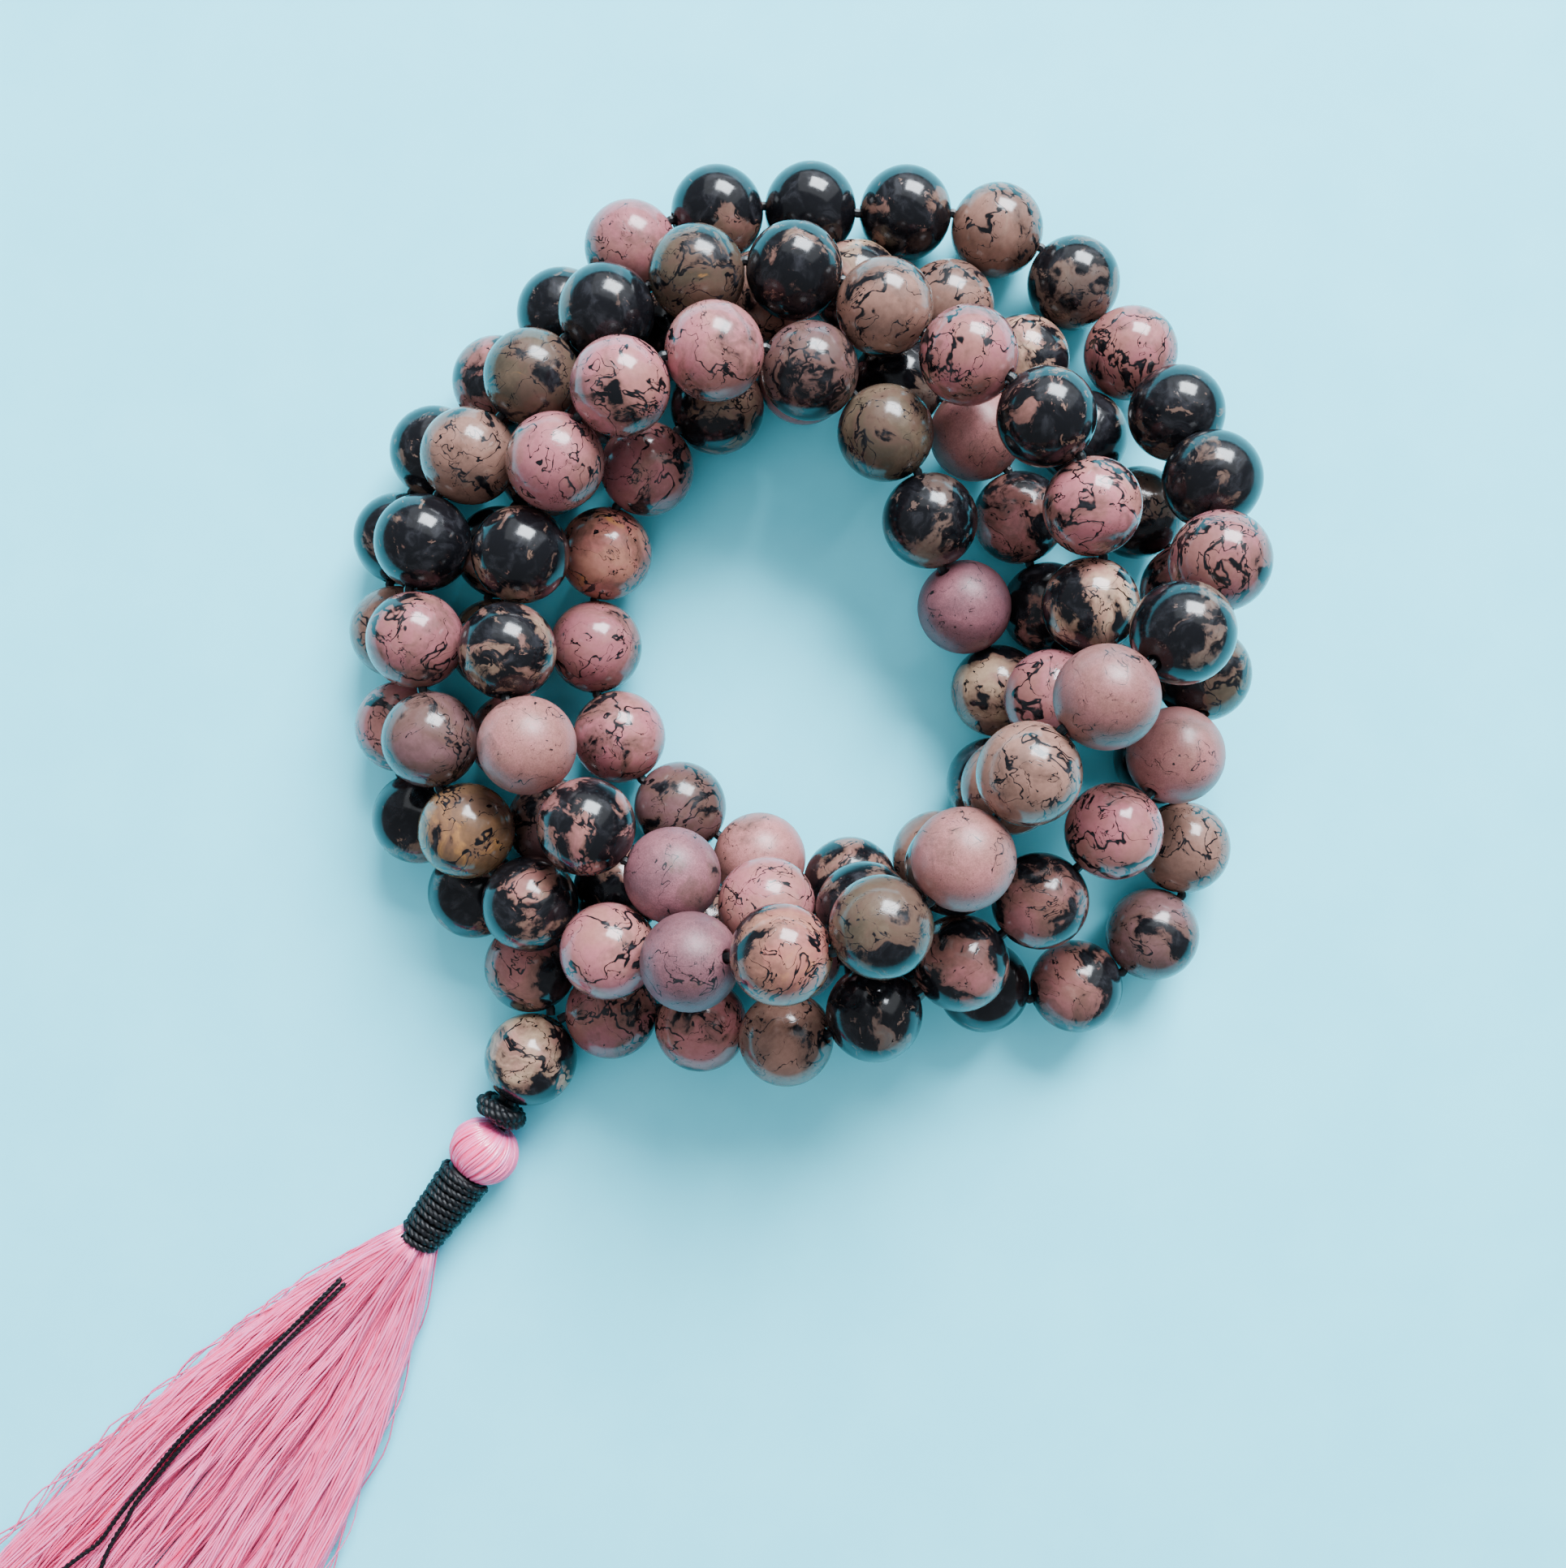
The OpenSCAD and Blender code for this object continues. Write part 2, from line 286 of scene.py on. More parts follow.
def new_group(name, inputs, outputs):
    """A node group with named sockets; returns the group, its input sockets by name, and its output node."""
    group = bpy.data.node_groups.new(name, "ShaderNodeTree")
    for label, kind in inputs:
        group.interface.new_socket(label, in_out="INPUT", socket_type=kind)
    for label, kind in outputs:
        group.interface.new_socket(label, in_out="OUTPUT", socket_type=kind)
    entry = group.nodes.new("NodeGroupInput")
    leave = group.nodes.new("NodeGroupOutput")
    return group, {label: entry.outputs[label] for label, _ in inputs}, leave


def new_material(name):
    """A material with only a Principled BSDF and its output."""
    material = bpy.data.materials.new(name)
    material.use_nodes = True
    return material, Tree(material.node_tree), material.node_tree.nodes["Principled BSDF"]


def srgb(red, green, blue):
    """A colour named by its 0 to 255 screen values, as the linear numbers that shaders use."""
    linear = [((c / 255 + 0.055) / 1.055) ** 2.4 if c > 10 else c / 3294.6 for c in (red, green, blue)]
    return tuple(linear) + (1.0,)


print("material helpers are ready")

# %% [markdown]
# ## The stones
#
# Each bead is cut from the same banded rock: rose crystals, tan and olive clouds, and black oxide that
# fills cracks and spreads in jagged patches. Where the black is everywhere, small pink and cream grains
# are left in it. One group of nodes draws all of that from a few numbers, and every bead brings its own
# numbers along as values on its points. The pattern's place comes with the bead as well, so it turns with
# the bead on the cord, and each bead is cut from another part of the rock.

# %% Stone pattern
pattern, have, leave = new_group(
    "stone_pattern",
    [("Place", "NodeSocketVector"), ("Rock", "NodeSocketColor"), ("Cloud", "NodeSocketColor"),
     ("Black", "NodeSocketFloat"), ("Vein", "NodeSocketFloat"), ("Fleck", "NodeSocketFloat"),
     ("Gold", "NodeSocketFloat"), ("Dull", "NodeSocketFloat")],
    [("Colour", "NodeSocketColor"), ("Roughness", "NodeSocketFloat"), ("Height", "NodeSocketFloat")])
g = Tree(pattern)
CREAM = srgb(222, 200, 172)
OCHRE = srgb(196, 136, 70)
OXIDE = srgb(13, 13, 16)
OXIDE_GREY = srgb(44, 44, 48)
HALO = srgb(84, 62, 54)
PATTERN_SCALE = 0.56

still = g.scaled(have["Place"], PATTERN_SCALE)
drift = g.vector("SUBTRACT", g.noise(still, 1.1, 3, out=1), (0.5, 0.5, 0.5))
place = g.vector("ADD", still, g.scaled(drift, 0.9))
fine = g.noise(still, 15, 5, 0.65)
clouds = g.noise(place, 1.5, 6, 0.6)
rock = g.mix(g.step(clouds, 0.38, 0.62), have["Rock"], have["Cloud"])
pale = g.step(g.noise(place, 2.6, 5, 0.6), 0.58, 0.8, 0, 0.1)
rock = g.mix(pale, rock, CREAM)
crystals = g.node("ShaderNodeTexVoronoi", {"Vector": place, "Scale": 7.0, "Randomness": 1.0}).outputs["Color"]
crystal_shade = g.node("ShaderNodeSeparateColor", {"Color": crystals}).outputs[0]
tone = g.math("ADD", g.math("MULTIPLY", crystal_shade, 0.08), g.step(fine, 0.2, 0.8, 0.76, 0.98))
speck = g.step(g.noise(still, 60, 2, 0.7), 0.35, 0.65, -0.13, 0.13)
tone = g.math("ADD", tone, g.math("MULTIPLY", speck, have["Dull"]))
rock = g.node("ShaderNodeHueSaturation", {"Saturation": 0.88, "Value": tone, "Color": rock}).outputs[0]
gold_limit = g.math("SUBTRACT", 0.78, g.math("MULTIPLY", have["Gold"], 0.24))
gold_at = g.step(g.noise(place, 2.3, 5, 0.6, 0.6), gold_limit, 0.8)
rock = g.mix(g.math("MULTIPLY", gold_at, g.step(have["Gold"], 0, 0.3)), rock, OCHRE)
print("rock body has", len(pattern.nodes), "nodes")

# %% [markdown]
# The black oxide is a threshold of a rough, warped noise: moving the threshold spreads it from thin
# stains to the whole bead. A wider, softer step of the same noise stains the rock brown round each patch.
# Veins use the place where another noise crosses its middle value, which always gives closed thin lines.
# Grains left in the black come from a finer noise.

# %% Oxide, veins and flecks
edge = g.math("MULTIPLY", g.math("SUBTRACT", fine, 0.5), 0.09)
patch_noise = g.math("ADD", g.noise(place, 1.35, 5, 0.56, 0.5), edge)
limit = g.math("ADD", 0.28, g.math("MULTIPLY", have["Black"], 0.46))
patch = g.step(patch_noise, g.math("SUBTRACT", limit, 0.024), g.math("ADD", limit, 0.024), 1, 0)
halo = g.step(patch_noise, limit, g.math("ADD", limit, 0.14), 0.7, 0)
rock = g.mix(halo, rock, HALO)


def vein(scale, shift, width):
    """Thin dark lines; width is how wide they get where Vein is 1."""
    moved = g.vector("ADD", place, (shift, shift * 2, -shift))
    line = g.math("ABSOLUTE", g.math("SUBTRACT", g.noise(moved, scale, 4, 0.55, 0.3), 0.5))
    room = g.math("MULTIPLY", g.math("MULTIPLY", have["Vein"], width), g.step(clouds, 0.3, 0.7, 0.2, 1.8))
    ragged = g.math("ADD", line, g.math("MULTIPLY", edge, 0.15))
    return g.step(ragged, g.math("MULTIPLY", room, 0.4), room, 1, 0)


dark = g.math("MAXIMUM", patch, g.math("MAXIMUM", vein(1.1, 3.1, 0.026), vein(2.3, 7.7, 0.014)))
grain_noise = g.math("ADD", g.noise(place, 5.4, 6, 0.7, 0.3), g.math("MULTIPLY", edge, 0.7))
grain_limit = g.math("SUBTRACT", 0.76, g.math("MULTIPLY", have["Fleck"], 0.17))
left = g.step(grain_noise, g.math("SUBTRACT", grain_limit, 0.015), g.math("ADD", grain_limit, 0.02))
dark = g.math("MULTIPLY", dark, g.math("SUBTRACT", 1.0, left))
oxide = g.mix(g.step(g.noise(place, 5.0, 5, 0.6), 0.45, 0.8), OXIDE, OXIDE_GREY)
colour = g.mix(dark, rock, oxide)

polish = g.step(fine, 0.3, 0.8, 0.1, 0.22)
rough = g.math("ADD", polish, g.math("MULTIPLY", have["Dull"], 0.3))
grain = g.math("MULTIPLY", fine, g.math("ADD", 0.15, have["Dull"]))
height = g.math("ADD", grain, g.math("MULTIPLY", dark, -0.12))
for label, value in (("Colour", colour), ("Roughness", rough), ("Height", height)):
    pattern.links.new(value, leave.inputs[label])
print("stone pattern has", len(pattern.nodes), "nodes")

# %% Polished stone
stone, s, bsdf = new_material("polished_stone")
cut = s.node("ShaderNodeGroup", node_tree=pattern)
STONE_COLOURS = ("rock", "cloud")
STONE_NUMBERS = ("black", "vein", "fleck", "gold", "dull")
s.tree.links.new(s.attribute("stone_at", "Vector"), cut.inputs["Place"])
for label in STONE_COLOURS:
    s.tree.links.new(s.attribute(label, "Color"), cut.inputs[label.capitalize()])
for label in STONE_NUMBERS:
    s.tree.links.new(s.attribute(label), cut.inputs[label.capitalize()])
s.tree.links.new(cut.outputs["Colour"], bsdf.inputs["Base Color"])
s.tree.links.new(cut.outputs["Roughness"], bsdf.inputs["Roughness"])
bump = s.node("ShaderNodeBump", {"Strength": 0.25, "Distance": 0.0001, "Height": cut.outputs["Height"]})
s.tree.links.new(bump.outputs[0], bsdf.inputs["Normal"])
bsdf.inputs["IOR"].default_value = 1.42
print("stone material:", stone.name)

# %% [markdown]
# ## Reading the strand
#
# The CAD nodes hold the beads at their exact places. A node with one bead gives its centre as the middle
# of its box. A node with many is first split into its separate bodies. The bore's direction is the
# longest spread of the points that lie inside the ball's surface, because only the bore's mouths do. Then
# the beads are put in the cord's order: each bead's joint with the next is where their two bores meet.


# %% Beads from the frame
def islands(mesh):
    """The separate bodies of a mesh, as arrays of points. Points at one place count as one."""
    points = np.array([v.co for v in mesh.vertices])
    _, same = np.unique(np.round(points / 1e-7), axis=0, return_inverse=True)
    same = same.ravel()
    parent = list(range(same.max() + 1))

    def top(i):
        while parent[i] != i:
            parent[i] = parent[parent[i]]
            i = parent[i]
        return i

    for edge_ends in mesh.edges:
        a, b = (top(same[i]) for i in edge_ends.vertices)
        parent[a] = b
    roots = np.array([top(i) for i in same])
    return [points[roots == r] for r in np.unique(roots)]


def read_bead(points):
    """Centre, radius and bore direction of one drilled bead."""
    centre = (points.min(0) + points.max(0)) / 2
    radius = np.abs(points - centre).max()
    off = points - centre
    inner = off[np.linalg.norm(off, axis=1) < 0.998 * radius]
    _, _, axes = np.linalg.svd(inner, full_matrices=False)
    return centre, radius, axes[0]


found = []
for node_name, node_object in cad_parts.items():
    if node_name.startswith(("bead_", "low_beads_")):
        for points in islands(node_object.data):
            found.append((node_name, *read_bead(points)))
_, GURU_R, _ = read_bead(islands(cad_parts["guru_bead"].data)[0])
BEAD_R = float(np.median([f[2] for f in found]))
guru_at = np.array(sum(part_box("guru_bead"), Vector()) / 2)
print("found", len(found), "beads of radius", round(BEAD_R / MM, 2), "mm")

# %% Beads in the cord's order
HOLE_DIR = Vector((math.cos(math.radians(240)), math.sin(math.radians(240)), 0))
HOLE_SIDE = np.array(UP.cross(HOLE_DIR))
LINK_HALF = 1.04 * BEAD_R


def chain_from(start, beads):
    """The beads in order along the cord, each with its bore pointing onward."""
    ordered, at, rest = [], np.asarray(start, float), list(beads)
    while rest:
        ends = [(np.linalg.norm(b[1] - side * b[3] * LINK_HALF - at), i, side)
                for i, b in enumerate(rest) for side in (1, -1)]
        _, i, side = min(ends)
        name, centre, radius, axis = rest.pop(i)
        axis = axis * side
        ordered.append((name, centre, axis))
        at = centre + axis * LINK_HALF
    return ordered


mouth = guru_at - np.array(HOLE_DIR) * GURU_R
strand = chain_from(mouth - HOLE_SIDE * 0.6 * MM, found)
steps = [np.linalg.norm(b[1] - a[1]) / MM for a, b in zip(strand, strand[1:])]
named = [n for n, (name, _, _) in enumerate(strand, 1) if name.startswith("bead_") and name != f"bead_{n}"]
print("beads in order:", len(strand), "misnumbered:", named)
print("steps from", round(min(steps), 2), "to", round(max(steps), 2), "mm")

# %% [markdown]
# ## Choosing the stones
#
# A strand is sorted for size, not for colour, so neighbours differ a lot. Each letter below is one kind
# of stone, with its two main colours and how much black, veining, grain and gold it has, and how dull its
# polish is. The long word then names the kind of every bead, in order from the guru bead.

# %% Kinds of stone
STONE_KINDS = {
    # letter: (rock, cloud, black, vein, fleck, gold, dull)
    "K": ((118, 98, 84), (82, 76, 74), 0.68, 0.2, 0.8, 0, 0),
    "k": ((150, 94, 84), (124, 100, 78), 0.64, 0.4, 0.6, 0.2, 0),
    "d": ((98, 80, 68), (64, 60, 58), 0.6, 0.5, 0.66, 0.3, 0.05),
    "h": ((158, 84, 86), (140, 84, 74), 0.46, 0.5, 0.3, 0, 0),
    "p": ((160, 82, 90), (150, 88, 80), 0.26, 0.6, 0.15, 0, 0),
    "q": ((166, 86, 94), (158, 94, 86), 0.1, 0.5, 0.05, 0, 0.1),
    "t": ((140, 96, 80), (112, 78, 66), 0.18, 0.5, 0.15, 0.3, 0.05),
    "o": ((100, 80, 62), (76, 64, 50), 0.3, 0.5, 0.3, 0.4, 0.1),
    "m": ((114, 74, 76), (90, 62, 58), 0.3, 0.5, 0.25, 0.1, 0.05),
    "s": ((162, 92, 90), (144, 86, 78), 0.04, 0.15, 0, 0, 0.75),
    "r": ((138, 78, 88), (114, 68, 76), 0.05, 0.15, 0, 0, 1),
    "b": ((160, 128, 100), (146, 86, 78), 0.56, 0.9, 0.9, 0.2, 0),
    "c": ((178, 142, 110), (156, 98, 86), 0.44, 0.8, 0.4, 0, 0),
    "g": ((130, 88, 52), (94, 66, 42), 0.2, 0.5, 0.2, 1, 0.05),
    "a": ((170, 104, 80), (160, 82, 72), 0.32, 0.6, 0.25, 1, 0),
}
STRAND_ORDER = (
    "hkkptKKhdqkKktK"
    "pKdpKstsoarpbgm"
    "pktodoktpbpcptK"
    "KqrhsbkqpqmoKrc"
    "ktcsmppapkqKshh"
    "tktmhKkptkmpokb"
    "qktctcKdposphhK"
    "thp"
)
print("stones named:", len(STRAND_ORDER), "of", len(strand))

# %% [markdown]
# ## One drilled bead
#
# A bead is turned, so its mesh is a profile swung round the bore: the bore's wall, a small bevel where
# the drill came out, and the long arc of the ball. The profile closes on itself, which makes a clean
# closed mesh with no poles at all. Short extra steps next to the bevel keep its shading crisp.

# %% Bead shape
BEVEL = 0.2 * MM
ARC_STEPS = 26
TURN_STEPS = 44


def bead_profile(radius, bore_r):
    """Radius and height of the closed outline of a drilled bead."""
    mouth_r = bore_r + BEVEL
    start = math.asin(mouth_r / radius)
    mouth_z = radius * math.cos(start)
    crisp = 0.02 * MM
    arc = [start + (math.pi - 2 * start) * i / ARC_STEPS for i in range(ARC_STEPS + 1)]
    arc[1:1] = [start + crisp / radius]
    arc[-1:-1] = [math.pi - start - crisp / radius]
    outer = [(radius * math.sin(a), radius * math.cos(a)) for a in arc]
    low, high = -(mouth_z - BEVEL), mouth_z - BEVEL
    return outer + [(bore_r, low), (bore_r, low + crisp), (bore_r, high - crisp), (bore_r, high)]


def turned(profile, axis, centre, turns=TURN_STEPS):
    """Points and faces of a profile swung round an axis through centre."""
    turn_to_axis = np.array(UP.rotation_difference(Vector(axis)).to_matrix())
    angles = np.arange(turns) * 2 * math.pi / turns
    points = np.array([(r * math.cos(a), r * math.sin(a), z) for a in angles for r, z in profile])
    n = len(profile)
    faces = [(a * n + i, a * n + (i + 1) % n, (a + 1) % turns * n + (i + 1) % n, (a + 1) % turns * n + i)
             for a in range(turns) for i in range(n)]
    return points @ turn_to_axis.T + centre, faces, points


def stone_values(kind, rng, local):
    """The numbers that one bead hands to the stone pattern."""
    rock, cloud, *numbers = STONE_KINDS[kind]
    angle = rng.uniform(0, 6.28)
    about = Vector([rng.gauss(0, 1) for _ in range(3)]).normalized()
    spin = np.array(Matrix.Rotation(angle, 3, about))
    place = local / BEAD_R @ spin.T + [rng.uniform(-40, 40) for _ in range(3)]
    shade = rng.uniform(0.86, 1.02)
    values = {"stone_at": place,
              "rock": np.array(srgb(*(min(255, c * shade) for c in rock))[:3]),
              "cloud": np.array(srgb(*(min(255, c * shade) for c in cloud))[:3])}
    for label, value in zip(STONE_NUMBERS, numbers):
        values[label] = value * rng.uniform(0.85, 1.15)
    return values


def add_bead(maker, kind, centre, axis, rng, radius, bore_r):
    points, faces, local = turned(bead_profile(radius, bore_r), axis, centre)
    maker.add(points, faces, **stone_values(kind, rng, local))


BORE_R = 0.5 * MM
GURU_BORE_R = 1.0 * MM
print("a bead has", len(bead_profile(BEAD_R, BORE_R)) * TURN_STEPS, "points")

# %% String the beads
rng = random.Random(11)
makers = {}
for (node_name, centre, axis), kind in zip(strand, STRAND_ORDER):
    add_bead(makers.setdefault(node_name, MeshMaker()), kind, centre, axis, rng, BEAD_R, BORE_R)
for node_name, maker in makers.items():
    piece = maker.make("stone_" + node_name, stone)
    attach(piece, "strand" if node_name.startswith("low") else node_name)
    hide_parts(node_name)
guru_maker = MeshMaker()
add_bead(guru_maker, "c", guru_at, HOLE_DIR, random.Random(5), GURU_R, GURU_BORE_R)
guru = guru_maker.make("stone_guru_bead", stone)
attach(guru, "guru_bead")
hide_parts("guru_bead")
print("bead pieces:", len(makers) + 1)

# %% [markdown]
# ## Waxed cord
#
# The cord is two plies of black waxed thread twisted together. Wax leaves it dark and slightly shiny, and its
# fibres run a little askew. The twist is real geometry wherever the cord shows, and the fibres are a fine
# stretched noise in the material. Along the fibres that noise paints the grey glints of the wax in a lighter
# grey and the shade between them in near black, while the roughness drops on the lighter fibres and gives
# real glints there too. The noise reads how far along the thread and how far round it each point is, so it
# follows the cord through every turn.

# %% Fibre pattern
fibres, have, leave = new_group(
    "fibre_pattern",
    [("Run", "NodeSocketFloat"), ("Turn", "NodeSocketFloat"), ("Fibres", "NodeSocketFloat"),
     ("Twist", "NodeSocketFloat"), ("Shade", "NodeSocketFloat")],
    [("Tone", "NodeSocketFloat"), ("Height", "NodeSocketFloat")])
g = Tree(fibres)
angle = g.math("ADD", have["Turn"], g.math("MULTIPLY", have["Run"], have["Twist"]))
round_x = g.math("MULTIPLY", g.math("COSINE", angle), have["Fibres"])
round_y = g.math("MULTIPLY", g.math("SINE", angle), have["Fibres"])
along_run = g.math("MULTIPLY", have["Run"], 260.0)
own_shift = g.math("MULTIPLY", have["Shade"], 91.0)
spot = g.node("ShaderNodeCombineXYZ", {"X": round_x, "Y": round_y, "Z": along_run}).outputs[0]
apart = g.vector("ADD", spot, g.node("ShaderNodeCombineXYZ", {"Z": own_shift}).outputs[0])
strands = g.noise(apart, 1.0, 4, 0.6)
g.tree.links.new(g.step(strands, 0.25, 0.75), leave.inputs["Tone"])
g.tree.links.new(strands, leave.inputs["Height"])
print("fibre pattern has", len(fibres.nodes), "nodes")


# %% Cord material
def fibre_material(name, dark, light, fibre_count, twist, rough, bump_depth, sheen=0.0):
    """A thread or cord material: fibres along the run, with painted shade between them and painted glints on
    them.
    """
    material, t, shader = new_material(name)
    values = {"Run": t.attribute("run"), "Turn": t.attribute("turn"), "Shade": t.attribute("shade"),
              "Fibres": fibre_count, "Twist": twist}
    made = t.node("ShaderNodeGroup", values, node_tree=fibres)
    own_shade = t.math("MULTIPLY", t.attribute("shade"), 0.45)
    # the fibre Tone paints shade between the fibres and glints on them into the colour; own_shade is each
    # thread's own tone
    tone = t.math("ADD", t.math("MULTIPLY", made.outputs["Tone"], 0.55), own_shade)
    t.tree.links.new(t.mix(tone, dark, light), shader.inputs["Base Color"])
    gloss = t.step(made.outputs["Tone"], 0, 1, rough + 0.1, rough - 0.08)
    t.tree.links.new(gloss, shader.inputs["Roughness"])
    bump_values = {"Strength": 0.6, "Distance": bump_depth, "Height": made.outputs["Height"]}
    relief = t.node("ShaderNodeBump", bump_values)
    t.tree.links.new(relief.outputs[0], shader.inputs["Normal"])
    shader.inputs["Sheen Weight"].default_value = sheen
    shader.inputs["Sheen Roughness"].default_value = 0.4
    return material


# srgb(3, 3, 4) is painted shade between the fibres, srgb(18, 19, 23) their painted grey glints
waxed = fibre_material("waxed_cord", srgb(3, 3, 4), srgb(18, 19, 23), 2.2, 2500, 0.46, 0.00006)
waxed.node_tree.nodes["Principled BSDF"].inputs["Specular IOR Level"].default_value = 0.3
print("cord material:", waxed.name)

# %% [markdown]
# The strand's own cord only shows as short black links between beads, so the CAD tubes for it, for the cord
# ends in the guru bead and for the tassel's loop are kept. Their material can't read the thread's run, so it
# uses a fine noise of the place itself, which paints the same lighter grey glints and near-black shade
# between fibres as the plied cord.

# %% Kept cords
hidden_cord, t, shader = new_material("hidden_cord")
spot = t.node("ShaderNodeTexCoord").outputs["Object"]
fibre_glint_noise = t.noise(spot, 4200, 5, 0.6, 0.4)
# the lighter grey is painted glints and the near black painted shade between fibres; roughness and bump from
# the same noise are real
cord_colour = t.mix(t.step(fibre_glint_noise, 0.35, 0.65), srgb(4, 4, 5), srgb(20, 22, 26))
t.tree.links.new(cord_colour, shader.inputs["Base Color"])
t.tree.links.new(t.step(fibre_glint_noise, 0.3, 0.7, 0.55, 0.35), shader.inputs["Roughness"])
relief = t.node("ShaderNodeBump", {"Strength": 0.5, "Distance": 0.00006, "Height": fibre_glint_noise})
t.tree.links.new(relief.outputs[0], shader.inputs["Normal"])
for node_name in ("strand_cord", "guru_cord", "tassel_loop"):
    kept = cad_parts[node_name]
    kept.data.materials.clear()
    kept.data.materials.append(hidden_cord)
print("kept CAD cords: 3")

# %% [markdown]
# ## The tassel's frame
#
# The tassel lies along its own axis, from the centre of its head through the wrapping to the tips of its
# threads. `on_tassel` turns distances along that axis, to its side and up into places in the room, so
# that the head, wrapping, threads and cord ends are all described the way a maker would measure them.

# %% Along the tassel
head_low, head_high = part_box("tassel_head")
wrap_low, wrap_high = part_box("tassel_wrap")
TASSEL_DIR = Vector((-0.6, -0.8, 0))
TASSEL_SIDE = UP.cross(TASSEL_DIR)
HEAD_R = (head_high.z - head_low.z) / 2
HEAD_HALF_L = 2.6 * MM
NECK_AT = 2.2 * MM
WRAP_L = 7.8 * MM
WRAP_R = (wrap_high.z - wrap_low.z) / 2
WRAP_END = NECK_AT + WRAP_L
WRAP_END_R = 2.0 * MM
LOOP_MIDDLE = -1.5 * MM
head_at = sum(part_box("tassel_loop"), Vector()) / 2 - TASSEL_DIR * LOOP_MIDDLE
AXES = np.array([TASSEL_DIR, TASSEL_SIDE, UP])


def on_tassel(along, side, up):
    """Places at these distances from the head's centre, along, to the side and up."""
    return np.array(head_at) + np.stack(np.broadcast_arrays(along, side, up), -1) @ AXES


print("head at", [round(x / MM, 2) for x in head_at], "mm, wrapping ends", round(WRAP_END / MM, 2), "mm on")

# %% [markdown]
# ## Knot below the guru bead
#
# The collar between the guru bead and the head is a small plaited knot of the same cord. A knot that goes
# three times round while it goes four times over and under looks plaited from every side, and one formula
# gives its whole path.

# %% Knot
knot_low, knot_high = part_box("guru_knot")
KNOT_R = (knot_high.z - knot_low.z) / 2
KNOT_HALF_T = 0.9 * MM
KNOT_CORD_R = 0.54 * MM
PLY_SHARE = 0.62
knot_at = np.array((knot_low + knot_high) / 2)
hole = np.array(HOLE_DIR)


def plied(maker, path, cord_r, pitch, rng, sides=6, side=(0, 0, 1)):
    """Adds a two-ply cord of that outer radius along the path."""
    ply_r = cord_r * PLY_SHARE
    for ply in ply_paths(path, cord_r - ply_r, pitch, side=side):
        maker.tube(ply, ply_r, sides, side, shade=rng.uniform(0.2, 0.8))


rng = random.Random(3)
knot = MeshMaker()
ROUNDS, CROSSINGS = 3, 4
turns = np.linspace(0, 2 * math.pi * ROUNDS, 300)
weave = turns * CROSSINGS / ROUNDS
ring_r = KNOT_R - KNOT_CORD_R - 0.2 * MM + 0.25 * MM * np.cos(weave)
lift = (KNOT_HALF_T - KNOT_CORD_R) * np.sin(weave)
outward = np.cos(turns)[:, None] * HOLE_SIDE + np.sin(turns)[:, None] * np.array(UP)
path = knot_at + ring_r[:, None] * outward + lift[:, None] * hole
plied(knot, path, KNOT_CORD_R, 1.1 * MM, rng, side=hole)
core = [knot_at + hole * s * (KNOT_HALF_T - 0.05 * MM) for s in (-1, -0.9, 0.9, 1)]
knot.tube(core, np.array([0.8, 1.0, 1.0, 0.8]) * (KNOT_R - 1.0 * MM), 24, UP, shade=0.1)
knot_piece = knot.make("plaited_knot", waxed)
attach(knot_piece, "guru_link")
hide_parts("guru_knot")
print("knot is", len(knot_piece.data.polygons), "faces")

# %% [markdown]
# ## Cord wrapping
#
# The same cord is whipped round the bundle of threads below the head, one turn tight against the next, and
# pulled tighter towards the loose threads. It is a narrowing helix of two plies over a dark core that closes
# the view between the turns; the core's near black is painted shade, put where the threads under the turns
# would lie in shadow. Each turn wanders by a hair, because hand-wound turns are never quite even.

# %% Wrapping
TURN_PITCH = 0.62 * MM
WRAP_CORD_R = 0.37 * MM
wrap = MeshMaker()
wrap_turns = (WRAP_L - 2 * WRAP_CORD_R) / TURN_PITCH
angles = np.linspace(0, 2 * math.pi * wrap_turns, round(wrap_turns * 40))
wander = 0.06 * MM * np.sin(angles * 0.37 + 1.0) + 0.04 * MM * np.sin(angles * 0.91)
core_r = np.linspace(WRAP_R, WRAP_END_R, len(angles)) - WRAP_CORD_R
helix_r = core_r + 0.04 * MM * np.sin(angles * 0.53)
path = on_tassel(NECK_AT + WRAP_CORD_R + angles / (2 * math.pi) * TURN_PITCH + wander,
                 helix_r * np.cos(angles), helix_r * np.sin(angles))
plied(wrap, path, WRAP_CORD_R, 1.15 * MM, rng, side=TASSEL_DIR)
# the near-black core under the turns is painted shade between them
shade_core_at = np.array([0.1, 0.3, WRAP_L / MM - 0.3, WRAP_L / MM - 0.1]) * MM + NECK_AT
shade_core_ends = np.array([0.8 * WRAP_R, WRAP_R, WRAP_END_R, 0.8 * WRAP_END_R]) - 0.6 * MM
wrap.tube(on_tassel(shade_core_at, 0, 0), shade_core_ends, 28, UP, shade=0.1)
wrap_piece = wrap.make("cord_wrapping", waxed)
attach(wrap_piece, "tassel")
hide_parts("tassel_wrap")
print("wrapping has", round(wrap_turns, 1), "turns")

# %% [markdown]
# ## Silk
#
# The threads are glossy viscose silk. Their shine comes from many fine parallel filaments, which spread a
# highlight into soft streaks, so the material is fairly smooth with a strong fine fibre relief. Its pink is
# painted deeper between filaments as painted shade, and paler on them as painted sheen. Each thread has a
# shade of its own.

